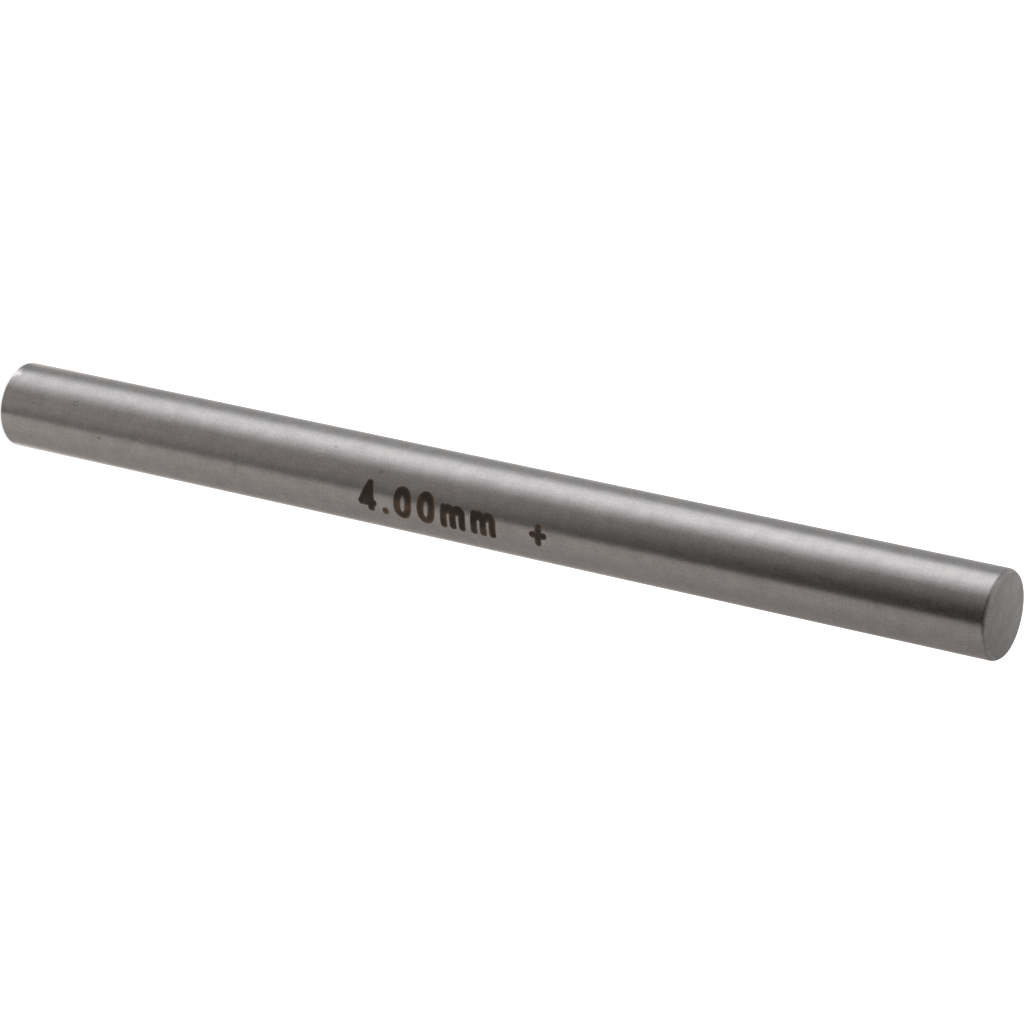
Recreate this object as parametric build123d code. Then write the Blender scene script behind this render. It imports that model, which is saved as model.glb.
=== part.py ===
from build123d import *
import os

# Plain cylindrical pin gauge, ground from one piece of hardened steel.
# It stands on one end face: the origin is the centre of that face and +Z runs along the axis.
# All sizes are in millimetres.

# Driving dimensions
gauge_diameter = 4.0
gauge_length = 50.8
chamfer_radial = 0.15
chamfer_axial = 0.15
edge_break_radius = 0.04


def half_section():
    """Outline from the axis out to the gauging surface, with both chamfered ends.

    Every corner off the axis is rounded by the edge break that finishing leaves.
    """
    surface = gauge_diameter / 2
    face_edge = surface - chamfer_radial
    with BuildLine() as outline:
        skin = FilletPolyline(
            (0, 0),
            (face_edge, 0),
            (surface, chamfer_axial),
            (surface, gauge_length - chamfer_axial),
            (face_edge, gauge_length),
            (0, gauge_length),
            radius=edge_break_radius,
        )
        Line(skin @ 1, skin @ 0)
    return outline.line


def gauge_pin():
    """The whole pin, turned about +Z."""
    with BuildPart() as pin:
        with BuildSketch(Plane.XZ):
            add(half_section())
            make_face()
        revolve(axis=Axis.Z)
    return pin.part


def main():
    os.makedirs("parts", exist_ok=True)
    export_step(gauge_pin(), "parts/gauge_pin.step")


main()
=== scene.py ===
import math
from typing import NamedTuple

import bpy
from bpy.props import FloatProperty, FloatVectorProperty, IntProperty, PointerProperty
from mathutils import Matrix, Vector


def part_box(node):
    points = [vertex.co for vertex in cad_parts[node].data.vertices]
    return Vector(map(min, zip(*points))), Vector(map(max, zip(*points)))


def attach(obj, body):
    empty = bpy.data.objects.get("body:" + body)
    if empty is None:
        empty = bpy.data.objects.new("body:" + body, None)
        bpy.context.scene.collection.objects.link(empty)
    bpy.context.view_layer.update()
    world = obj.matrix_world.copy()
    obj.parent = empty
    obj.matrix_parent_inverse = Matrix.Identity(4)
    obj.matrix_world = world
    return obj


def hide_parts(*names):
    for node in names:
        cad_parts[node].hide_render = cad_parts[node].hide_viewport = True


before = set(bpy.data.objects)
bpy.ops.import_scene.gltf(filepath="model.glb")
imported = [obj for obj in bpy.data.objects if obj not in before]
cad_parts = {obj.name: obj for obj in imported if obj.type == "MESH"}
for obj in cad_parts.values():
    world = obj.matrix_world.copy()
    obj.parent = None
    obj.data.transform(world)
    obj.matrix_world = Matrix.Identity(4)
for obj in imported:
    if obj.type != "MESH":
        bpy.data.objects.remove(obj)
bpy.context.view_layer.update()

bl_info = {
    "name": "Pin Gauge",
    "version": (1, 0, 0),
    "blender": (4, 5, 0),
    "location": "3D View > Sidebar > Pin Gauge",
    "description": "Plain ground steel pin gauge with its size marking, on a white studio floor",
    "category": "Object",
}

MM = 0.001
NODE = "gauge_pin"
BODY = "root"

pin_low, pin_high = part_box(NODE)
PIN_RADIUS = (pin_high.x - pin_low.x) / 2
PIN_LENGTH = pin_high.z - pin_low.z

# Lengths in metres that are too small to see
PIN_JOIN = 1e-7
MARKING_JOIN = 2e-7
FACE_DEPTH = 1e-6
TENT_LIFT = 2e-5

# A face whose normal rises more steeply than this belongs to an end of the pin and not to its side
END_RISE = 0.35

# Noise runs from 0 to 1, but is seldom outside these
NOISE_LOW, NOISE_HIGH = 0.25, 0.75


def length(name, description, millimetres):
    """A length that the user can change, given in millimetres and kept in metres."""
    return FloatProperty(
        name=name, description=description, default=millimetres * MM, unit="LENGTH", precision=6
    )


def angle(name, description, degrees):
    """An angle that the user can change, given in degrees and kept in radians."""
    return FloatProperty(
        name=name, description=description, default=math.radians(degrees), unit="ROTATION"
    )


def share(name, description, default):
    """A share from 0 to 1 that the user can change."""
    return FloatProperty(name=name, description=description, default=default, min=0, max=1)


def colour(name, description, default):
    """A linear colour that the user can change."""
    return FloatVectorProperty(
        name=name, description=description, default=default, size=3, min=0, max=1, subtype="COLOR"
    )


class PINGAUGE_PG_body(bpy.types.PropertyGroup):
    """Shape of the pin. Its diameter and length come from the pin's part in model.glb."""

    chamfer_radial: length("Chamfer across", "How far each chamfer reaches in from the side", 0.14)
    chamfer_axial: length("Chamfer along", "How far each chamfer reaches along the pin", 0.14)
    foot_break: length("Foot break", "Radius between the side and the foot's chamfer", 0.14)
    top_break: length("Top break", "Radius between the side and the top's chamfer", 0.34)
    face_break: length("Face break", "Radius between each chamfer and its face", 0.05)
    row_spacing: length("Row spacing", "Length of the faces along the straight side", 2.0)
    support: length("Support", "Width of the narrow faces that keep the edge breaks crisp", 0.02)
    sides: IntProperty(name="Sides", description="Faces round the pin", default=256, min=32)
    edge_wear: length("Edge wear", "Depth of the unevenness along the worn edges", 0.004)
    wear_reach: length("Wear reach", "How far from each end the wear reaches", 0.45)
    wear_size: length("Wear size", "Length of one dip in the worn edges", 0.35)


class PINGAUGE_PG_steel(bpy.types.PropertyGroup):
    """Finish of the ground side and of the end faces."""

    side_colour: colour("Side colour", "Colour of the ground side", (0.603, 0.592, 0.588))
    face_colour: colour("Face colour", "Colour of the end faces", (0.497, 0.477, 0.463))
    side_roughness: share("Side roughness", "Roughness of the ground side", 0.308)
    side_uneven: share("Side unevenness", "How much the side's roughness varies", 0.06)
    side_anisotropy: share("Side anisotropy", "How much the grinding lines stretch a reflection", 0.77)
    face_roughness: share("Face roughness", "Roughness of the end faces", 0.38)
    face_uneven: share("Face unevenness", "How much the faces' roughness varies", 0.05)
    grain_size: length("Grain size", "Size of the satin grain", 0.085)
    line_pitch: length("Line pitch", "Width of a grinding line", 0.09)
    line_length: length("Line length", "Length of a grinding line", 1.2)
    grain_depth: length("Grain depth", "Depth of the grain and the lines", 0.0018)
    mottle: share("Mottle", "How much the grain varies the side's brightness", 0.29)
    clouding: share("Clouding", "How much the side's brightness varies in wider patches", 0.08)
    face_mottle: share("Face mottle", "How much the faces' brightness varies", 0.30)
    # Painted shading: the faces are painted paler towards one edge, as light falling across them would
    # make them.
    face_painted_shade: share("Face fade", "How much paler the faces are towards one edge", 0.28)
    # Painted highlight on the chamfers.
    chamfer_painted_lift: share("Rim lift", "How much brighter the chamfers are than the faces", 0.35)


class PINGAUGE_PG_marking(bpy.types.PropertyGroup):
    """The size marking, burnt into the side."""

    start: length("Start", "Height up the pin of the marking's first edge", 20.01)
    baseline: length("Baseline", "Distance round the pin from the front line down to the feet", 1.60)
    digit_height: length("Digit height", "Height of the digits", 1.58)
    digit_width: length("Digit width", "Width of the digits", 0.965)
    small_height: length("Small height", "Height of the letter m", 1.22)
    small_width: length("Small width", "Width of the letter m", 1.31)
    plus_height: length("Plus height", "Height of the plus sign", 1.13)
    plus_width: length("Plus width", "Width of the plus sign", 0.925)
    plus_rise: length("Plus rise", "Height of the plus sign's foot over the baseline", 0.10)
    dot_width: length("Dot width", "Width of the decimal point", 0.35)
    dot_height: length("Dot height", "Height of the decimal point", 0.42)
    letter_gap: length("Letter gap", "Gap between two characters", 0.256)
    plus_gap: length("Plus gap", "Gap before the plus sign", 1.69)
    stroke: length("Stroke", "Width of the burnt line", 0.36)
    burn_height: length("Burn height", "How far the burnt skin stands proud", 0.006)
    waver: share("Waver", "Unevenness of the line's width", 0.10)
    foot_fade: share("Foot fade", "How much the burn thins towards the characters' feet", 0.38)
    dark: colour("Dark burn", "Colour of the fully burnt skin", (0.0255, 0.0180, 0.0135))
    brown: colour("Brown burn", "Colour of the thinly burnt skin", (0.105, 0.064, 0.037))


class PINGAUGE_PG_stage(bpy.types.PropertyGroup):
    """Floor, light and camera."""

    floor_radius: length("Floor radius", "Radius of the white floor", 3000)
    floor_colour: colour("Floor colour", "Colour of the floor", (0.86, 0.86, 0.86))
    floor_lift: share("Floor lift", "White added where the floor is seen or mirrored", 0.60)
    ambient: share("Ambient", "Strength of the even light from all round", 0.55)
    lamp_height: length("Lamp height", "Height of the soft lamp over the floor", 600)
    lamp_size: length("Lamp size", "Width of the soft lamp", 500)
    lamp_power: FloatProperty(name="Lamp power", description="Power of the soft lamp", default=2.4)
    tent_radius: length("Tent radius", "Radius of the tent of cards that the steel mirrors", 140)
    card_near: length("Card near", "How far out a card starts to change its brightness", 54)
    card_reach: length("Card reach", "How far out a card comes to its outer brightness", 96)
    foot_glow: share("Foot glow", "How much brighter the tinted cards are round the pin's foot", 0.12)
    foot_shade: share("Foot shade", "How much darker the plain cards are round the pin's foot", 0.08)
    foot_reach: length("Foot reach", "How far out the foot glow and the foot shade reach", 24)
    wall_foot: length("Wall foot", "Height where the tent's wall takes over from the cards", 44)
    wall_shade: share("Wall shade", "How much darker the wall is at its foot", 0.35)
    card_tint: colour("Card tint", "Colour of the cards that are not plain", (1.0, 0.925, 0.880))
    camera_distance: length("Camera distance", "From the pin's middle to the camera", 189.17)
    camera_elevation: angle("Camera elevation", "Camera's height over the pin's middle", 28.316)
    camera_roll: angle("Camera roll", "Turn of the picture from the pin lying level", 12.196)
    camera_yaw: angle("Camera yaw", "Turn of the camera off the pin's middle, along it", 0.3756)
    camera_pitch: angle("Camera pitch", "Turn of the camera off the pin's middle, across it", -0.1222)
    camera_lens: FloatProperty(name="Lens", description="Focal length in millimetres", default=148.73)


class Nodes:
    """Short calls for building one node tree."""

    def __init__(self, tree):
        self.tree = tree

    def add(self, kind, inputs=None, **settings):
        """New node with its settings, and its inputs by name or number as values or links."""
        made = self.tree.nodes.new(kind)
        for key, value in settings.items():
            setattr(made, key, value)
        for key, value in (inputs or {}).items():
            self.feed(made.inputs[key], value)
        return made

    def feed(self, socket, value):
        """Link a socket to the given one, or set its value."""
        if isinstance(value, bpy.types.NodeSocket):
            self.tree.links.new(value, socket)
        else:
            socket.default_value = value

    def reshaped(self, kind, geometry, **inputs):
        """What a geometry node makes of a geometry, with its other inputs by name."""
        made = self.add("GeometryNode" + kind, {"Geometry": geometry, **inputs})
        return made.outputs["Geometry"]

    def math(self, operation, *values, clamp=False):
        """Result of one Math node."""
        kind = "ShaderNodeMath"
        return self.add(kind, dict(enumerate(values)), operation=operation, use_clamp=clamp).outputs[0]

    def product(self, first, *others):
        """Product of two numbers or more."""
        for other in others:
            first = self.math("MULTIPLY", first, other)
        return first

    def scaled(self, vector, factor):
        """Vector times a number."""
        inputs = {0: vector, "Scale": factor}
        return self.add("ShaderNodeVectorMath", inputs, operation="SCALE").outputs[0]

    def split(self, vector):
        """X, Y and Z of a vector."""
        return self.add("ShaderNodeSeparateXYZ", {0: vector}).outputs

    def joined(self, x, y, z):
        """Vector from X, Y and Z."""
        return self.add("ShaderNodeCombineXYZ", {0: x, 1: y, 2: z}).outputs[0]

    def mapped(self, value, low, high, new_low=0.0, new_high=1.0, smooth=False):
        """Value carried from one range to another and held at its ends."""
        inputs = {0: value, "From Min": low, "From Max": high, "To Min": new_low, "To Max": new_high}
        kind = "SMOOTHSTEP" if smooth else "LINEAR"
        return self.add("ShaderNodeMapRange", inputs, interpolation_type=kind).outputs["Result"]

    def mixed(self, factor, first, second):
        """Mix of two colours, which are the Mix node's inputs 6 and 7."""
        inputs = {"Factor": factor, 6: first, 7: second}
        return self.add("ShaderNodeMix", inputs, data_type="RGBA", clamp_factor=True).outputs[2]

    def noise(self, place, scale, detail, roughness=0.5):
        """Noise about a place."""
        inputs = {"Vector": place, "Scale": scale, "Detail": detail, "Roughness": roughness}
        return self.add("ShaderNodeTexNoise", inputs).outputs[0]

    def bump(self, height, distance, **under):
        """Normal of a skin with a height on it, over the normal under it if one is given."""
        inputs = {"Height": height, "Distance": distance, "Strength": 1.0, **under}
        return self.add("ShaderNodeBump", inputs).outputs[0]

    def surface(self, shader, inputs):
        """Shader that the material shows."""
        made = self.add("ShaderNode" + shader, inputs)
        self.add("ShaderNodeOutputMaterial", {"Surface": made.outputs[0]})


def new_group(name, kind, inputs, outputs):
    """New node group: its Nodes, given inputs and results. Each socket is a name with its kind."""
    tree = bpy.data.node_groups.new(name, kind)
    for in_out, sockets in (("INPUT", inputs), ("OUTPUT", outputs)):
        for label, value in sockets.items():
            tree.interface.new_socket(name=label, in_out=in_out, socket_type="NodeSocket" + value)
    nodes = Nodes(tree)
    return nodes, nodes.add("NodeGroupInput").outputs, nodes.add("NodeGroupOutput").inputs


def new_material(name):
    """Empty material and its Nodes."""
    material = bpy.data.materials.new(name)
    material.use_nodes = True
    material.node_tree.nodes.clear()
    return material, Nodes(material.node_tree)


def rgba(values):
    """Colour property as four numbers."""
    return (*values, 1.0)


# Geometry


def rounded_corner(corner, before, after, radius, steps):
    """Points of the arc that rounds a corner of the half section."""
    to_before = (before - corner).normalized()
    to_after = (after - corner).normalized()
    half = to_before.angle(to_after) / 2
    centre = corner + (to_before + to_after).normalized() * radius / math.sin(half)
    first = (corner + to_before * radius / math.tan(half) - centre).normalized()
    last = (corner + to_after * radius / math.tan(half) - centre).normalized()
    return [centre + first.slerp(last, step / steps) * radius for step in range(steps + 1)]


def end_section(sizes, side_break):
    """Points (distance from the axis, height) from the middle of one end out and up to mid length."""
    face_edge = PIN_RADIUS - sizes.chamfer_radial
    centre = Vector((0, 0))
    face = Vector((face_edge, 0))
    side = Vector((PIN_RADIUS, sizes.chamfer_axial))
    middle = Vector((PIN_RADIUS, PIN_LENGTH / 2))
    rings = [Vector((face_edge * step / 4, 0)) for step in range(4)]
    face_arc = rounded_corner(face, centre, side, sizes.face_break, 3)
    side_arc = rounded_corner(side, face, middle, side_break, 8)
    inner_support = face_arc[0] - Vector((sizes.support, 0))
    outer_support = side_arc[-1] + Vector((0, sizes.support))
    rows = int((middle.y - outer_support.y) / sizes.row_spacing)
    rise = [outer_support.lerp(middle, row / rows) for row in range(rows)]
    return [*rings, inner_support, *face_arc, *side_arc, *rise, middle]


def half_section(sizes):
    """Points (distance from the axis, height) from the foot's middle up the side to the top's middle."""
    lower = end_section(sizes, sizes.foot_break)
    upper = end_section(sizes, sizes.top_break)
    return lower + [Vector((point.x, PIN_LENGTH - point.y)) for point in reversed(upper[:-1])]


class Line(NamedTuple):
    """One line of a mesh: its points, and whether it closes.

    A burnt line also gives the width of its tips, as a share of the stroke, and how faint it is, as the
    share of the burn's height that it lacks.
    """

    points: list
    closes: bool = False
    tips: float = 1.0
    faint: float = 0.0


def line_mesh(name, lines):
    """Mesh of open and closed lines, with the width of a line's tips kept on its points."""
    points, edges, tips = [], [], []
    for line in lines:
        first = len(points)
        points += line.points
        tips += [line.tips] * len(line.points)
        edges += [(first + step, first + step + 1) for step in range(len(line.points) - 1)]
        if line.closes:
            edges.append((len(points) - 1, first))
    mesh = bpy.data.meshes.new(name)
    mesh.from_pydata(points, edges, [])
    mesh.attributes.new("tips", "FLOAT", "POINT").data.foreach_set("value", tips)
    return mesh


def turned_skin(nodes, given, position):
    """Closed skin that the half section makes when it turns about Z, with its seam on the +Y side."""
    size = nodes.add("GeometryNodeAttributeDomainSize", {"Geometry": given["Geometry"]}, component="MESH")
    rows = size.outputs["Point Count"]
    columns = nodes.math("ADD", given["Sides"], 1)
    grid = nodes.add(
        "GeometryNodeMeshGrid", {"Size X": 1.0, "Size Y": 1.0, "Vertices X": columns, "Vertices Y": rows}
    )
    across, along, _ = nodes.split(position)
    row = nodes.product(nodes.math("ADD", along, 0.5), nodes.math("SUBTRACT", rows, 1))
    sampled = nodes.add(
        "GeometryNodeSampleIndex",
        {"Geometry": given["Geometry"], "Value": position, "Index": nodes.math("ROUND", row)},
        data_type="FLOAT_VECTOR",
        domain="POINT",
    )
    radius, _, height = nodes.split(sampled.outputs["Value"])
    turn = nodes.math("MULTIPLY_ADD", nodes.math("ADD", across, 0.5), math.tau, math.pi / 2)
    turned = nodes.joined(
        nodes.product(radius, nodes.math("COSINE", turn)),
        nodes.product(radius, nodes.math("SINE", turn)),
        height,
    )
    skin = nodes.reshaped("SetPosition", grid.outputs["Mesh"], Position=turned)
    return nodes.reshaped("MergeByDistance", skin, Distance=PIN_JOIN)


def worn_skin(nodes, given, position, normal, skin):
    """Skin with shallow dips along the edges at its two ends. The flat of each end stays flat."""
    height = nodes.split(position)[2]
    to_end = nodes.math("MINIMUM", height, nodes.math("SUBTRACT", given["Length"], height))
    near_edge = nodes.mapped(to_end, 0.0, given["Wear Reach"], 1.0, 0.0, smooth=True)
    off_face = nodes.math("GREATER_THAN", to_end, FACE_DEPTH)
    dips = nodes.noise(position, nodes.math("DIVIDE", 1.0, given["Wear Size"]), 3.0)
    dip = nodes.mapped(dips, 0.45, NOISE_HIGH)
    inwards = nodes.product(near_edge, off_face, dip, given["Wear Depth"], -1.0)
    return nodes.reshaped("SetPosition", skin, Offset=nodes.scaled(normal, inwards))


def made_real(nodes, geometry):
    """Geometry shaded smooth, with its instances realized."""
    return nodes.reshaped("RealizeInstances", nodes.reshaped("SetShadeSmooth", geometry))


def turned_pin_tree():
    """Geometry nodes that turn the half section about Z and wear its edges."""
    inputs = {
        "Geometry": "Geometry",
        "Sides": "Int",
        "Length": "Float",
        "Wear Reach": "Float",
        "Wear Depth": "Float",
        "Wear Size": "Float",
        "Side Material": "Material",
        "Face Material": "Material",
    }
    nodes, given, result = new_group("Turned Pin", "GeometryNodeTree", inputs, {"Geometry": "Geometry"})
    position = nodes.add("GeometryNodeInputPosition").outputs[0]
    normal = nodes.add("GeometryNodeInputNormal").outputs[0]
    skin = turned_skin(nodes, given, position)
    worn = made_real(nodes, worn_skin(nodes, given, position, normal, skin))
    side = nodes.reshaped("SetMaterial", worn, Material=given["Side Material"])
    at_end = nodes.math("GREATER_THAN", nodes.math("ABSOLUTE", nodes.split(normal)[2]), END_RISE)
    both = nodes.reshaped("SetMaterial", side, Selection=at_end, Material=given["Face Material"])
    nodes.feed(result["Geometry"], both)
    return nodes.tree


def made_by(name, mesh, tree, inputs):
    """Piece that a geometry node tree makes from a mesh, as a plain mesh at the origin."""
    holder = bpy.data.objects.new(name, mesh)
    bpy.context.scene.collection.objects.link(holder)
    modifier = holder.modifiers.new(tree.name, "NODES")
    modifier.node_group = tree
    sockets = {item.name: item.identifier for item in tree.interface.items_tree if item.in_out == "INPUT"}
    for label, value in inputs.items():
        modifier[sockets[label]] = value
    graph = bpy.context.evaluated_depsgraph_get()
    plain = bpy.data.meshes.new_from_object(holder.evaluated_get(graph))
    holder.modifiers.clear()
    holder.data = plain
    plain.name = name
    bpy.data.meshes.remove(mesh)
    if not plain.polygons:
        raise RuntimeError(f"{name} came out with no faces")
    return holder


# Strokes' widths over which a line tapers to its tips, and points along one stroke's width of a line
TAPER = 1.5
STEPS_A_STROKE = 10

# Characters of the marking, as lines through the middle of the burnt stroke. Each function takes the
# character's outer width and height and the stroke's half width, and its origin is its lower left corner.


def ran_on(points, by):
    """Open line whose two ends run on by a half stroke, where the stroke's round end takes it up."""
    start, after = Vector(points[0]), Vector(points[1])
    end, before = Vector(points[-1]), Vector(points[-2])
    first = start + (start - after).normalized() * by
    last = end + (end - before).normalized() * by
    return [first, *map(Vector, points[1:-1]), last]


def arch_points(middle, spring, radius):
    """Points of a round arch over two legs, from left to right."""
    turns = [math.radians(turn) for turn in range(180, -1, -18)]
    return [(middle + radius * math.cos(turn), spring + radius * math.sin(turn)) for turn in turns]


def oval_points(left, right, low, high):
    """Points of an oval with its sides a little flattened."""
    steps, flattening = 28, 0.85
    middle = Vector(((left + right) / 2, (low + high) / 2))
    oval = []
    for step in range(steps):
        turn = math.tau * step / steps
        across, up = math.cos(turn), math.sin(turn)
        x = math.copysign(abs(across) ** flattening, across)
        y = math.copysign(abs(up) ** flattening, up)
        oval.append(middle + Vector((x * (right - left) / 2, y * (high - low) / 2)))
    return oval


def character_zero(width, height, half):
    """Narrow oval, burnt a second time further in, which leaves a small opening low in the middle."""
    outer = oval_points(half, width - half, half, height - half)
    inner = oval_points(half * 1.14, width - half * 1.14, half * 1.10, height - half * 1.68)
    return [Line(outer, closes=True, faint=0.12), Line(inner, closes=True, faint=0.12)]


def character_four(width, height, half):
    """Slope, bar and stem. The stroke is wide enough to close the counter."""
    stem = width * 0.69
    bar = height * 0.31
    apex = (stem - width * 0.09, height - half)
    corner = (half - width * 0.02, bar)
    slope = ran_on([apex, corner], half)
    cross = ran_on([corner, (width - half, bar)], half)
    upright = ran_on([apex, (stem, bar), (stem - width * 0.02, half * 1.2)], half)
    counter = ran_on([(stem - width * 0.14, height * 0.62), (stem - width * 0.28, bar)], half)
    return [Line(slope), Line(cross), Line(upright), Line(counter)]


def character_point(width, height, half):
    """Decimal point: a faint stroke just longer than it is wide."""
    middle = width / 2
    points = [Vector((middle, 0)), Vector((middle, height / 2)), Vector((middle, height))]
    return [Line(points, faint=0.35)]


def character_m(width, height, half):
    """Three legs under two arches, burnt twice over so that they fill in."""
    legs = [half, width / 2, width - half]
    spread = (legs[1] - legs[0]) / 2
    spring = height - half - spread
    lines = [Line(ran_on([(legs[0], height - half), (legs[0], half)], half))]
    for left, right in zip(legs, legs[1:]):
        for drop in (0, half * 0.55):
            arch = arch_points((left + right) / 2, spring - drop, spread)
            lines.append(Line(ran_on([*arch, (right, half)], half)))
    return lines


def character_plus(width, height, half):
    """Upright cross with slightly narrower tips, and two slanting dabs that fill its corners."""
    middle = Vector((width / 2, height / 2))
    level = [(half, middle.y), (width - half, middle.y)]
    upright = [(middle.x, half), (middle.x, height - half)]
    lines = [Line(ran_on(level, half), tips=0.85), Line(ran_on(upright, half), tips=0.85)]
    for slant in (Vector((half, half)) * 0.7, Vector((half, -half)) * 0.7):
        lines.append(Line([middle - slant, middle, middle + slant]))
    return lines


def marking_lines(sizes):
    """Every stroke of the marking on a flat sheet: X along the pin, Y round it."""
    digit = (sizes.digit_width, sizes.digit_height)
    small = (sizes.small_width, sizes.small_height)
    row = [
        (character_four, *digit, 0, 0),
        (character_point, sizes.dot_width, sizes.dot_height, sizes.letter_gap, 0),
        (character_zero, *digit, sizes.letter_gap, 0),
        (character_zero, *digit, sizes.letter_gap, 0),
        (character_m, *small, sizes.letter_gap, 0),
        (character_m, *small, sizes.letter_gap, 0),
        (character_plus, sizes.plus_width, sizes.plus_height, sizes.plus_gap, sizes.plus_rise),
    ]
    lines = []
    pen = sizes.start
    for draw, width, height, gap, rise in row:
        pen += gap
        for line in draw(width, height, sizes.stroke / 2):
            sunk = -line.faint * sizes.stroke / 2
            placed = [(pen + point.x, point.y + rise - sizes.baseline, sunk) for point in line.points]
            lines.append(line._replace(points=placed))
        pen += width
    return lines


def line_width(nodes, given, position, half):
    """Share of its width that a stroke has at a point: rounded and tapered at its tips, and uneven."""
    gone = nodes.add("GeometryNodeSplineParameter").outputs["Length"]
    whole = nodes.add("GeometryNodeSplineLength").outputs["Length"]
    to_tip = nodes.math("MINIMUM", gone, nodes.math("SUBTRACT", whole, gone))
    inset = nodes.math("SUBTRACT", 1.0, nodes.math("DIVIDE", to_tip, half, clamp=True))
    round_end = nodes.math("SQRT", nodes.math("SUBTRACT", 1.0, nodes.product(inset, inset)))
    closes = nodes.add("GeometryNodeInputSplineCyclic").outputs[0]
    tips = nodes.add("GeometryNodeInputNamedAttribute", {"Name": "tips"}, data_type="FLOAT").outputs[0]
    taper = nodes.mapped(to_tip, 0.0, nodes.product(given["Stroke"], TAPER), tips, 1.0)
    ended = nodes.math("MAXIMUM", round_end, closes)
    noise = nodes.noise(position, nodes.math("DIVIDE", 1.0, given["Stroke"]), 2.0)
    uneven = nodes.math("MULTIPLY_ADD", nodes.math("SUBTRACT", noise, 0.5), given["Waver"], 1.0)
    return nodes.product(ended, taper, uneven)


def wrapped_place(nodes, given, position):
    """Place on the pin of a point of the flat sheet, as far off the side as it is off the sheet."""
    x, y, z = nodes.split(position)
    round_by = nodes.math("DIVIDE", y, given["Pin Radius"])
    out_by = nodes.product(nodes.math("ADD", given["Pin Radius"], z), -1.0)
    return nodes.joined(
        nodes.product(out_by, nodes.math("SINE", round_by)),
        nodes.product(out_by, nodes.math("COSINE", round_by)),
        x,
    )


def burnt_line_tree():
    """Geometry nodes that give each line a flat round-ended stroke and wrap it round the pin."""
    inputs = {
        "Geometry": "Geometry",
        "Stroke": "Float",
        "Burn Height": "Float",
        "Waver": "Float",
        "Pin Radius": "Float",
        "Material": "Material",
    }
    nodes, given, result = new_group("Burnt Line", "GeometryNodeTree", inputs, {"Geometry": "Geometry"})
    position = nodes.add("GeometryNodeInputPosition").outputs[0]
    half = nodes.product(given["Stroke"], 0.5)
    curve = nodes.add("GeometryNodeMeshToCurve", {"Mesh": given["Geometry"]}).outputs["Curve"]
    step = nodes.product(given["Stroke"], 1 / STEPS_A_STROKE)
    even = nodes.add("GeometryNodeResampleCurve", {"Curve": curve, "Length": step}, mode="LENGTH")
    width = line_width(nodes, given, position, half)
    sized = nodes.add("GeometryNodeSetCurveRadius", {"Curve": even.outputs["Curve"], "Radius": width})
    circle = nodes.add("GeometryNodeCurvePrimitiveCircle", {"Resolution": 16, "Radius": half})
    tube = nodes.add(
        "GeometryNodeCurveToMesh",
        {
            "Curve": sized.outputs["Curve"],
            "Profile Curve": circle.outputs["Curve"],
            "Scale": nodes.add("GeometryNodeInputRadius").outputs[0],
            "Fill Caps": True,
        },
    )
    x, y, z = nodes.split(position)
    thin = nodes.joined(x, y, nodes.product(z, nodes.math("DIVIDE", given["Burn Height"], half)))
    flat = nodes.reshaped("SetPosition", tube.outputs["Mesh"], Position=thin)
    closed = nodes.reshaped("MergeByDistance", flat, Distance=MARKING_JOIN)
    wrapped = nodes.reshaped("SetPosition", closed, Position=wrapped_place(nodes, given, position))
    burnt = nodes.reshaped("SetMaterial", made_real(nodes, wrapped), Material=given["Material"])
    nodes.feed(result["Geometry"], burnt)
    return nodes.tree


# Materials


def satin_grain():
    """Node group: fine grain, the same in every direction, and wider clouds."""
    name = "Satin Grain"
    if name in bpy.data.node_groups:
        return bpy.data.node_groups[name]
    inputs, outputs = {"Vector": "Vector", "Size": "Float"}, {"Grain": "Float", "Cloud": "Float"}
    nodes, given, result = new_group(name, "ShaderNodeTree", inputs, outputs)
    scale = nodes.math("DIVIDE", 1.0, given["Size"])
    # A cloud is about eight grains wide.
    wide_scale = nodes.product(scale, 0.12)
    nodes.feed(result["Grain"], nodes.noise(given["Vector"], scale, 3.0, roughness=0.6))
    nodes.feed(result["Cloud"], nodes.noise(given["Vector"], wide_scale, 3.0))
    return nodes.tree


def grain_of(nodes, size):
    """Place in Object coordinates, and the grain and the cloud there."""
    place = nodes.add("ShaderNodeTexCoord").outputs["Object"]
    made = nodes.add("ShaderNodeGroup", {"Vector": place, "Size": size}, node_tree=satin_grain())
    return place, made.outputs["Grain"], made.outputs["Cloud"]


def from_axis(nodes, place):
    """Distance of a place from the pin's axis."""
    x, y, _ = nodes.split(place)
    return nodes.math("SQRT", nodes.math("ADD", nodes.product(x, x), nodes.product(y, y)))


class BlemishOrGlint(NamedTuple):
    """Small fault in the side, with its lengths in millimetres.

    Its place is a height up the pin and a turn round it in degrees. Turn 0 is the -Y side, which faces
    the camera, and turns grow towards -X, the top of the picture. The darkenings say how dark the middle
    and the rim are. A negative depth stands proud, and a negative darkening paints the spot brighter than
    the side, as a painted highlight.
    """

    height: float
    turn: float
    width: float
    depth: float
    darkening: float
    rim_darkening: float = 0.0


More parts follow.
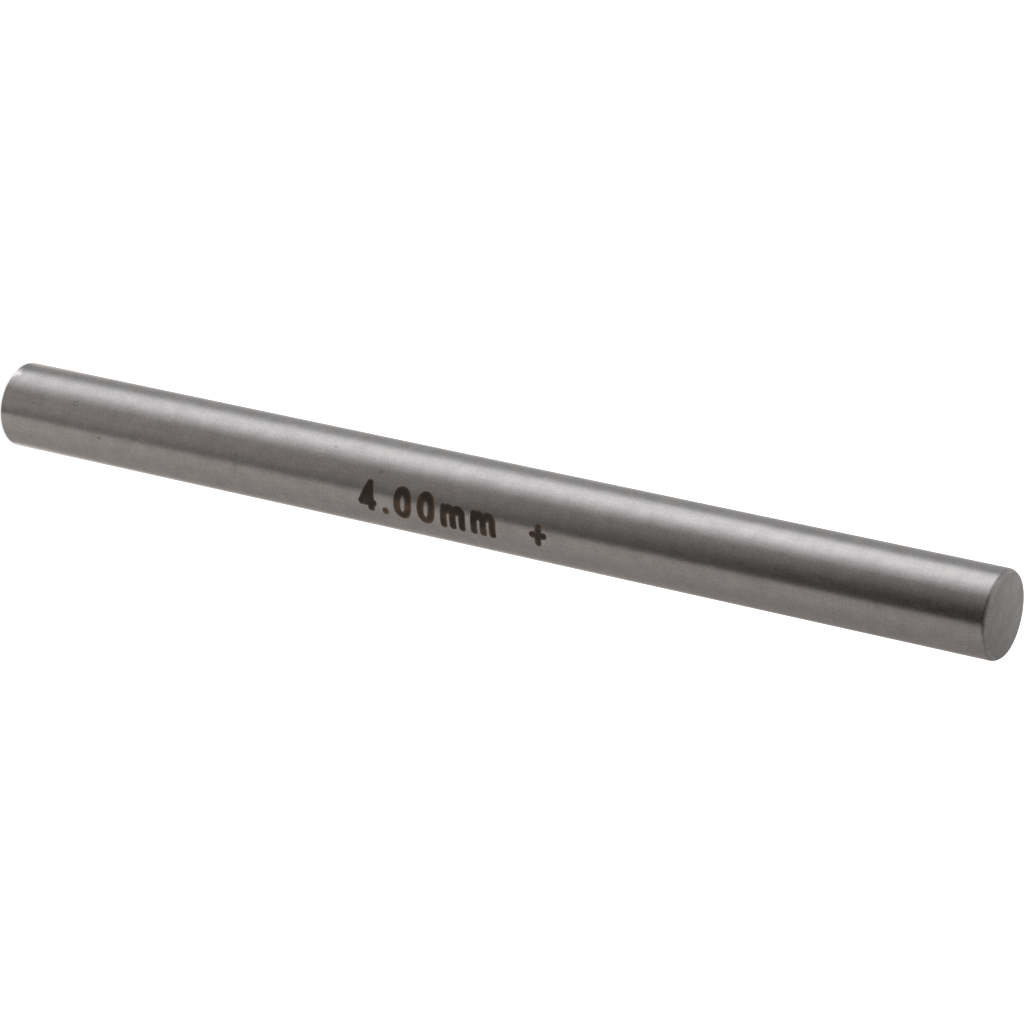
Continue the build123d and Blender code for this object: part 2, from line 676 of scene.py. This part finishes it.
BLEMISHES_AND_GLINTS = (
    BlemishOrGlint(4.18, 15.4, 0.22, 0.004, 0.02, 0.30),
    BlemishOrGlint(4.06, 16.5, 0.14, 0.002, 0.14),
    # A dent: the brighter spot is a painted highlight on its lit side, the darker one painted shade on
    # its other side.
    BlemishOrGlint(5.73, -20.9, 0.17, -0.004, -0.45),
    BlemishOrGlint(5.77, -24.0, 0.21, 0.008, 0.34),
    # Another dent: the darker spot is painted shade on one side, the brighter one a painted highlight on
    # the other.
    BlemishOrGlint(8.06, -9.8, 0.18, 0.003, 0.18),
    BlemishOrGlint(8.06, -13.4, 0.15, 0.003, -0.30),
    BlemishOrGlint(10.77, 43.2, 0.16, 0.005, 0.20),
    BlemishOrGlint(13.38, -7.2, 0.30, 0.002, 0.18),
    BlemishOrGlint(18.25, 32.1, 0.21, 0.006, 0.40),
    BlemishOrGlint(20.99, 10.8, 0.34, 0.002, 0.24),
    # Painted glint on the foot's edge: spots painted brighter than the side, over very shallow dips,
    # stand in for a highlight.
    BlemishOrGlint(0.18, 38.0, 0.40, 0.003, -0.62),
    BlemishOrGlint(0.20, 44.0, 0.40, 0.003, -0.62),
    BlemishOrGlint(0.40, 42.0, 0.40, 0.003, -0.45),
    BlemishOrGlint(0.30, 50.0, 0.30, 0.003, -0.55),
)


def on_pin(height, turn):
    """Point on the pin's side at a height up the pin and a turn round it in radians."""
    return Vector((-PIN_RADIUS * math.sin(turn), -PIN_RADIUS * math.cos(turn), height))


def blemish_group():
    """Node group: round dip about one point, and the low rim just outside it."""
    name = "Blemish Dip"
    if name in bpy.data.node_groups:
        return bpy.data.node_groups[name]
    inputs = {"Vector": "Vector", "Centre": "Vector", "Width": "Float"}
    outputs = {"Dip": "Float", "Rim": "Float"}
    nodes, given, result = new_group(name, "ShaderNodeTree", inputs, outputs)
    ends = {0: given["Vector"], 1: given["Centre"]}
    apart = nodes.add("ShaderNodeVectorMath", ends, operation="DISTANCE").outputs["Value"]
    half_widths = nodes.math("DIVIDE", apart, nodes.product(given["Width"], 0.5))
    nodes.feed(result["Dip"], nodes.mapped(half_widths, 0.1, 1.0, 1.0, 0.0, smooth=True))
    rises = nodes.mapped(half_widths, 0.7, 1.05, smooth=True)
    falls = nodes.mapped(half_widths, 1.05, 1.5, 1.0, 0.0, smooth=True)
    nodes.feed(result["Rim"], nodes.product(rises, falls))
    return nodes.tree


def ground_grain(nodes, steel, place, grain):
    """Grain of the side: satin, crossed by grinding lines round the pin and lapping lines along it."""
    satin_weight, round_weight, along_weight = 0.62, 0.16, 0.22
    long, fine = 1 / steel.line_length, 1 / steel.line_pitch
    both = nodes.product(grain, satin_weight)
    for stretch, weight in (((long, long, fine), round_weight), ((fine, fine, long), along_weight)):
        drawn = nodes.add("ShaderNodeMapping", {"Vector": place, "Scale": stretch}).outputs[0]
        both = nodes.math("MULTIPLY_ADD", nodes.noise(drawn, 1.0, 4.0), weight, both)
    return both


def blemish_and_glint_marks(nodes, place):
    """Height in metres and share of its brightness that the blemishes give the side."""
    height, shade = 0.0, 1.0
    # Most entries are real blemishes; those painted brighter are painted highlights and glints, and the
    # dark half of each dent's pair is painted shade.
    for speck in BLEMISHES_AND_GLINTS:
        centre = on_pin(speck.height * MM, math.radians(speck.turn))
        inputs = {"Vector": place, "Centre": centre, "Width": speck.width * MM}
        dip = nodes.add("ShaderNodeGroup", inputs, node_tree=blemish_group())
        height = nodes.math("MULTIPLY_ADD", dip.outputs["Dip"], -speck.depth * MM, height)
        height = nodes.math("MULTIPLY_ADD", dip.outputs["Rim"], speck.depth * MM / 3, height)
        shade = nodes.math("MULTIPLY_ADD", dip.outputs["Dip"], -speck.darkening, shade)
        if speck.rim_darkening:
            shade = nodes.math("MULTIPLY_ADD", dip.outputs["Rim"], -speck.rim_darkening, shade)
    return height, shade


def ground_side_material(steel):
    """Side of the pin: ground round and round, then lapped to a satin."""
    material, nodes = new_material("Ground side")
    place, grain, cloud = grain_of(nodes, steel.grain_size)
    both = ground_grain(nodes, steel, place, grain)
    # The blemish marks include painted highlights, a painted glint at the foot's edge and painted shade
    # in two dents.
    height, marks = blemish_and_glint_marks(nodes, place)
    shade = nodes.mapped(both, NOISE_LOW, NOISE_HIGH, 1.0 - steel.mottle, 1.0 + steel.mottle)
    clouding = nodes.mapped(cloud, NOISE_LOW, NOISE_HIGH, 1.0 - steel.clouding, 1.0 + steel.clouding)
    shade = nodes.product(shade, clouding, marks)
    low, high = steel.side_roughness - steel.side_uneven, steel.side_roughness + steel.side_uneven
    grained = nodes.bump(both, steel.grain_depth)
    nodes.surface(
        "BsdfPrincipled",
        {
            "Base Color": nodes.scaled(tuple(steel.side_colour), shade),
            "Metallic": 1.0,
            "Roughness": nodes.mapped(both, NOISE_LOW, NOISE_HIGH, low, high),
            "Anisotropic": steel.side_anisotropy,
            "Anisotropic Rotation": 0.25,
            "Normal": nodes.bump(height, 1.0, Normal=grained),
            "Tangent": nodes.add("ShaderNodeTangent", direction_type="RADIAL", axis="Z").outputs[0],
        },
    )
    return material


def ground_face_material(steel):
    """End faces and chamfers: duller than the side, mottled, and paler towards one edge."""
    cloud_weight, grain_weight, low_noise, high_noise = 0.35, 0.65, 0.3, 0.7
    fade_slant = -0.5
    rim_inside, rim_outside = PIN_RADIUS * 0.91, PIN_RADIUS * 0.94
    material, nodes = new_material("Ground face")
    place, grain, cloud = grain_of(nodes, steel.grain_size)
    both = nodes.math("MULTIPLY_ADD", cloud, cloud_weight, nodes.product(grain, grain_weight))
    shade = nodes.mapped(both, low_noise, high_noise, 1.0 - steel.face_mottle, 1.0 + steel.face_mottle)
    x, y, _ = nodes.split(place)
    across = nodes.math("MULTIPLY_ADD", y, fade_slant, x)
    # Painted shading across each face: paler towards one edge, darker towards the other.
    fade = nodes.mapped(across, -PIN_RADIUS, PIN_RADIUS, 1.0 + steel.face_painted_shade, 1.0 - steel.face_painted_shade)
    # Painted highlight: the chamfer round each face is painted brighter than the face.
    rim = nodes.mapped(from_axis(nodes, place), rim_inside, rim_outside, 1.0, 1.0 + steel.chamfer_painted_lift)
    shade = nodes.product(shade, fade, rim)
    low, high = steel.face_roughness - steel.face_uneven, steel.face_roughness + steel.face_uneven
    nodes.surface(
        "BsdfPrincipled",
        {
            "Base Color": nodes.scaled(tuple(steel.face_colour), shade),
            "Metallic": 1.0,
            "Roughness": nodes.mapped(both, low_noise, high_noise, low, high),
            "Normal": nodes.bump(both, steel.grain_depth * 2),
        },
    )
    return material


def burnt_material(marking, steel):
    """Marking: a brown-black oxide skin, browner where the burn is thin."""
    cloud_weight, grain_weight, fully_burnt = 1.3, 0.8, 0.9
    fade_start, feet = PIN_RADIUS * 0.25, PIN_RADIUS * 0.7
    material, nodes = new_material("Burnt marking")
    place, grain, cloud = grain_of(nodes, steel.grain_size)
    depth = nodes.mapped(from_axis(nodes, place), PIN_RADIUS, PIN_RADIUS + marking.burn_height)
    uneven = nodes.math("MULTIPLY_ADD", nodes.math("SUBTRACT", cloud, 0.5), cloud_weight, depth)
    uneven = nodes.math("MULTIPLY_ADD", nodes.math("SUBTRACT", grain, 0.5), grain_weight, uneven)
    thinner = nodes.mapped(nodes.split(place)[0], fade_start, feet, 0.0, marking.foot_fade)
    burn = nodes.mapped(nodes.math("SUBTRACT", uneven, thinner), 0.0, fully_burnt, smooth=True)
    nodes.surface(
        "BsdfPrincipled",
        {
            "Base Color": nodes.mixed(burn, rgba(marking.brown), rgba(marking.dark)),
            "Metallic": 0.0,
            "Roughness": 0.5,
            "Specular IOR Level": 0.3,
            "Normal": nodes.bump(grain, steel.grain_depth * 4),
        },
    )
    return material


def seen_or_mirrored(nodes):
    """1 for camera, glossy and transmission rays, and 0 for the light that falls on things."""
    path = nodes.add("ShaderNodeLightPath").outputs
    mirrored = nodes.math("MAXIMUM", path["Is Glossy Ray"], path["Is Transmission Ray"])
    return nodes.math("MAXIMUM", path["Is Camera Ray"], mirrored)


def floor_material(stage):
    """White floor that keeps the pin's shadow."""
    material, nodes = new_material("Studio floor")
    paper = nodes.add(
        "ShaderNodeBsdfPrincipled",
        {"Base Color": rgba(stage.floor_colour), "Roughness": 1.0, "Specular IOR Level": 0.0},
    )
    strength = nodes.product(seen_or_mirrored(nodes), stage.floor_lift)
    lift = nodes.add("ShaderNodeEmission", {"Strength": strength})
    nodes.surface("AddShader", {0: paper.outputs[0], 1: lift.outputs[0]})
    material.cycles.emission_sampling = "NONE"
    return material


class Card(NamedTuple):
    """One soft-edged card of the tent, between two compass angles in degrees.

    The compass starts at the camera's side (-Y) and turns towards -X. The softs say how gradually
    each edge comes in, far_end is where the card ends far out, and the levels are its brightness
    at the pin's foot and far out. A card that isn't tinted is plain grey or white.
    """

    start: float
    start_soft: float
    end: float
    far_end: float
    end_soft: float
    foot_level: float
    far_level: float
    tinted: bool = True


# Compass angle past every real one, for a card with no edge on that side
OPEN = 999

FLOOR_CARDS = (
    Card(-OPEN, 1, OPEN, OPEN, 1, 0.37, 0.36, tinted=False),
    Card(-170, 20, -34, -34, 6, 0.335, 0.28),
    Card(-80, 25, -34, -34, 6, 0.405, 0.36),
    Card(-37, 6, 70, 70, 4, 0.288, 0.205),
    Card(-37, 6, -20, 9, 18, 0.165, 0.00),
    Card(37, 7, 100, 103, 12, 0.46, 0.42, tinted=False),
    Card(57, 19, 100, 103, 12, 1.03, 1.21, tinted=False),
    Card(153, 12, OPEN, OPEN, 1, 0.83, 0.62),
    Card(-OPEN, 1, -154, -161, 12, 0.90, 0.72),
)
WALL_CARDS = (
    Card(-OPEN, 1, OPEN, OPEN, 1, 0.40, 0.40, tinted=False),
    Card(-125, 15, 145, 145, 15, 0.28, 0.28, tinted=False),
    Card(-60, 10, 42, 42, 12, 0.05, 0.05),
)
CROWN_CARDS = (
    Card(-OPEN, 1, OPEN, OPEN, 1, 0.33, 0.33, tinted=False),
    Card(-50, 20, 40, 40, 20, 0.27, 0.27, tinted=False),
)


class Spot(NamedTuple):
    """A place on the tent: its compass angle, and how far out it is, from 0 to 1.

    The gains are what the foot glow and the foot shade multiply a tinted and a plain card by there.
    """

    compass: bpy.types.NodeSocket
    reach: bpy.types.NodeSocket
    tinted_gain: bpy.types.NodeSocket
    plain_gain: bpy.types.NodeSocket


def card_colour(nodes, stage, card, spot):
    """Colour of a card at a place on the tent."""
    level = nodes.mapped(spot.reach, 0.0, 1.0, card.foot_level, card.far_level)
    if card.tinted:
        return nodes.scaled(tuple(stage.card_tint), nodes.product(level, spot.tinted_gain))
    return nodes.scaled((1.0, 1.0, 1.0), nodes.product(level, spot.plain_gain))


def card_mask(nodes, card, spot):
    """1 on the card and 0 off it."""
    compass = spot.compass
    opens = nodes.mapped(compass, card.start - card.start_soft, card.start + card.start_soft, smooth=True)
    end = nodes.mapped(spot.reach, 0.0, 1.0, card.end, card.far_end)
    last = nodes.math("ADD", end, card.end_soft)
    full = nodes.math("SUBTRACT", end, card.end_soft)
    shuts = nodes.mapped(compass, last, full, smooth=True)
    return nodes.product(opens, shuts)


def cards_glow(nodes, stage, cards, spot):
    """Light of a set of cards, each laid over the ones before it. The first lies everywhere."""
    glow = card_colour(nodes, stage, cards[0], spot)
    for card in cards[1:]:
        glow = nodes.mixed(card_mask(nodes, card, spot), glow, card_colour(nodes, stage, card, spot))
    return glow


def tent_material(stage):
    """Soft cards of light and dark, which only the steel mirrors."""
    floor_top, wall_bottom = stage.wall_foot * 0.8, stage.wall_foot * 1.2
    wall_top, crown_bottom = stage.tent_radius * 0.66, stage.tent_radius * 0.84
    inner, outer = stage.foot_reach / 4, stage.foot_reach
    material, nodes = new_material("Studio cards")
    place = nodes.add("ShaderNodeTexCoord").outputs["Object"]
    x, y, z = nodes.split(place)
    turn = nodes.math("ARCTAN2", nodes.product(x, -1.0), nodes.product(y, -1.0))
    out = from_axis(nodes, place)
    # A card's edges aim at the line where the pin's skin mirrors them, not at its axis, so near the
    # foot the compass is counted wider.
    clear = nodes.math("MAXIMUM", nodes.math("SUBTRACT", out, PIN_RADIUS / 2), PIN_RADIUS / 2)
    widened = nodes.math("DIVIDE", nodes.product(turn, out), clear)
    compass = nodes.product(widened, math.degrees(1))
    reach = nodes.mapped(out, stage.card_near, stage.card_reach, smooth=True)
    tinted_gain = nodes.mapped(out, inner, outer, 1.0 + stage.foot_glow, 1.0, smooth=True)
    plain_gain = nodes.mapped(out, inner, outer, 1.0 - stage.foot_shade, 1.0, smooth=True)
    spot = Spot(compass, reach, tinted_gain, plain_gain)
    floor = cards_glow(nodes, stage, FLOOR_CARDS, spot)
    wall = cards_glow(nodes, stage, WALL_CARDS, spot)
    dimmed, full = stage.wall_foot, stage.wall_foot * 2
    wall = nodes.scaled(wall, nodes.mapped(z, dimmed, full, 1.0 - stage.wall_shade, 1.0, smooth=True))
    above = nodes.mapped(z, floor_top, wall_bottom, smooth=True)
    crown = nodes.mapped(z, wall_top, crown_bottom, smooth=True)
    wall = nodes.mixed(crown, wall, cards_glow(nodes, stage, CROWN_CARDS, spot))
    nodes.surface("Emission", {"Color": nodes.mixed(above, floor, wall)})
    material.cycles.emission_sampling = "NONE"
    return material


def studio_world(stage):
    """White all round where it is seen or mirrored, and an even light elsewhere."""
    world = bpy.data.worlds.new("Studio")
    world.use_nodes = True
    world.node_tree.nodes.clear()
    nodes = Nodes(world.node_tree)
    strength = nodes.mapped(seen_or_mirrored(nodes), 0.0, 1.0, stage.ambient, 1.0)
    sky = nodes.add("ShaderNodeBackground", {"Color": (1, 1, 1, 1), "Strength": strength})
    nodes.add("ShaderNodeOutputWorld", {"Surface": sky.outputs[0]})
    bpy.context.scene.world = world


# Stage


def place_floor(stage):
    """Flat round floor at the height of the pin's foot."""
    bpy.ops.mesh.primitive_circle_add(vertices=64, radius=stage.floor_radius, fill_type="NGON")
    floor = bpy.context.object
    floor.name = "studio_floor"
    floor.data.materials.append(floor_material(stage))


def place_tent(stage):
    """Floor disc and dome of cards round the pin, hidden from all but mirror reflections."""
    sides, rings = 96, 18
    profile = [(0, 0), (stage.tent_radius * 0.1, 0)]
    for ring in range(rings + 1):
        rise = math.radians(90 * ring / rings)
        profile.append((stage.tent_radius * math.cos(rise), stage.tent_radius * math.sin(rise)))
    points, faces = [], []
    for row, (out, up) in enumerate(profile):
        for side in range(sides):
            turn = math.tau * side / sides
            points.append((out * math.cos(turn), out * math.sin(turn), up + TENT_LIFT))
            if row:
                start, after = row * sides + side, row * sides + (side + 1) % sides
                faces.append((start - sides, after - sides, after, start))
    mesh = bpy.data.meshes.new("studio_cards")
    mesh.from_pydata(points, [], faces)
    tent = bpy.data.objects.new("studio_cards", mesh)
    bpy.context.scene.collection.objects.link(tent)
    mesh.materials.append(tent_material(stage))
    for ray in ("camera", "diffuse", "transmission", "volume_scatter", "shadow"):
        setattr(tent, f"visible_{ray}", False)


def place_lamp(stage):
    """One large soft lamp overhead."""
    data = bpy.data.lights.new("soft_lamp", "AREA")
    data.shape = "DISK"
    data.size = stage.lamp_size
    data.energy = stage.lamp_power
    lamp = bpy.data.objects.new("soft_lamp", data)
    lamp.location = (0, 0, stage.lamp_height)
    lamp.visible_glossy = False
    lamp.visible_camera = False
    bpy.context.scene.collection.objects.link(lamp)


def place_camera(stage):
    """Camera in front of the standing pin and over it, turned so that the pin lies across the picture."""
    middle = Vector((0, 0, PIN_LENGTH / 2))
    rise = stage.camera_elevation
    back = Vector((0, -math.cos(rise), math.sin(rise)))
    along = Vector((0, math.sin(rise), math.cos(rise)))
    across = Vector((-1, 0, 0))
    level = Matrix((along, across, back)).transposed()
    roll = Matrix.Rotation(stage.camera_roll, 3, "Z")
    yaw = Matrix.Rotation(-stage.camera_yaw, 3, "Y")
    pitch = Matrix.Rotation(stage.camera_pitch, 3, "X")
    data = bpy.data.cameras.new("camera")
    data.sensor_width = 36.0
    data.lens = stage.camera_lens
    data.clip_start = 0.001
    data.clip_end = 50.0
    camera = bpy.data.objects.new("camera", data)
    turned = level @ roll @ yaw @ pitch
    camera.matrix_world = Matrix.Translation(middle + back * stage.camera_distance) @ turned.to_4x4()
    bpy.context.scene.collection.objects.link(camera)
    bpy.context.scene.camera = camera


# Operators and panel


class PINGAUGE_OT_body(bpy.types.Operator):
    """Turn the pin with its chamfered and worn ends, and give it its ground finish"""

    bl_idname = "pin_gauge.body"
    bl_label = "Make Pin"

    def execute(self, context):
        sizes, steel = context.scene.pin_gauge_body, context.scene.pin_gauge_steel
        section = [(point.x, 0, point.y) for point in half_section(sizes)]
        inputs = {
            "Sides": sizes.sides,
            "Length": PIN_LENGTH,
            "Wear Reach": sizes.wear_reach,
            "Wear Depth": sizes.edge_wear,
            "Wear Size": sizes.wear_size,
            "Side Material": ground_side_material(steel),
            "Face Material": ground_face_material(steel),
        }
        pin = made_by("ground_pin", line_mesh("section", [Line(section)]), turned_pin_tree(), inputs)
        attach(pin, BODY)
        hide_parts(NODE)
        return {"FINISHED"}


class PINGAUGE_OT_marking(bpy.types.Operator):
    """Burn the plain size marking into the pin's side"""

    bl_idname = "pin_gauge.marking"
    bl_label = "Make Marking"

    def execute(self, context):
        marking, steel = context.scene.pin_gauge_marking, context.scene.pin_gauge_steel
        inputs = {
            "Stroke": marking.stroke,
            "Burn Height": marking.burn_height,
            "Waver": marking.waver,
            "Pin Radius": PIN_RADIUS,
            "Material": burnt_material(marking, steel),
        }
        lines = line_mesh("marking_lines", marking_lines(marking))
        burnt = made_by("size_marking", lines, burnt_line_tree(), inputs)
        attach(burnt, BODY)
        return {"FINISHED"}


class PINGAUGE_OT_stage(bpy.types.Operator):
    """Lay the white floor and set the cards, light and camera"""

    bl_idname = "pin_gauge.stage"
    bl_label = "Make Stage"

    def execute(self, context):
        stage = context.scene.pin_gauge_stage
        studio_world(stage)
        place_floor(stage)
        place_tent(stage)
        place_lamp(stage)
        place_camera(stage)
        context.scene.view_settings.view_transform = "Standard"
        return {"FINISHED"}


class PINGAUGE_PT_sidebar(bpy.types.Panel):
    """Sizes, finishes and operators of the pin gauge"""

    bl_idname = "PINGAUGE_PT_sidebar"
    bl_label = "Pin Gauge"
    bl_space_type = "VIEW_3D"
    bl_region_type = "UI"
    bl_category = "Pin Gauge"

    def draw(self, context):
        for name, (group, operator) in SECTIONS.items():
            box = self.layout.box()
            settings = getattr(context.scene, name)
            for key in group.__annotations__:
                box.prop(settings, key)
            if operator:
                box.operator(operator.bl_idname)


SECTIONS = {
    "pin_gauge_body": (PINGAUGE_PG_body, PINGAUGE_OT_body),
    "pin_gauge_steel": (PINGAUGE_PG_steel, None),
    "pin_gauge_marking": (PINGAUGE_PG_marking, PINGAUGE_OT_marking),
    "pin_gauge_stage": (PINGAUGE_PG_stage, PINGAUGE_OT_stage),
}
CLASSES = [made for section in SECTIONS.values() for made in section if made] + [PINGAUGE_PT_sidebar]


def register():
    for made in CLASSES:
        bpy.utils.register_class(made)
    for name, (group, _) in SECTIONS.items():
        setattr(bpy.types.Scene, name, PointerProperty(type=group))


def unregister():
    for name in SECTIONS:
        delattr(bpy.types.Scene, name)
    for made in reversed(CLASSES):
        bpy.utils.unregister_class(made)


def main():
    """Make the pin, its marking and the stage."""
    register()
    bpy.ops.pin_gauge.body()
    bpy.ops.pin_gauge.marking()
    bpy.ops.pin_gauge.stage()


if __name__ == "__main__":
    main()
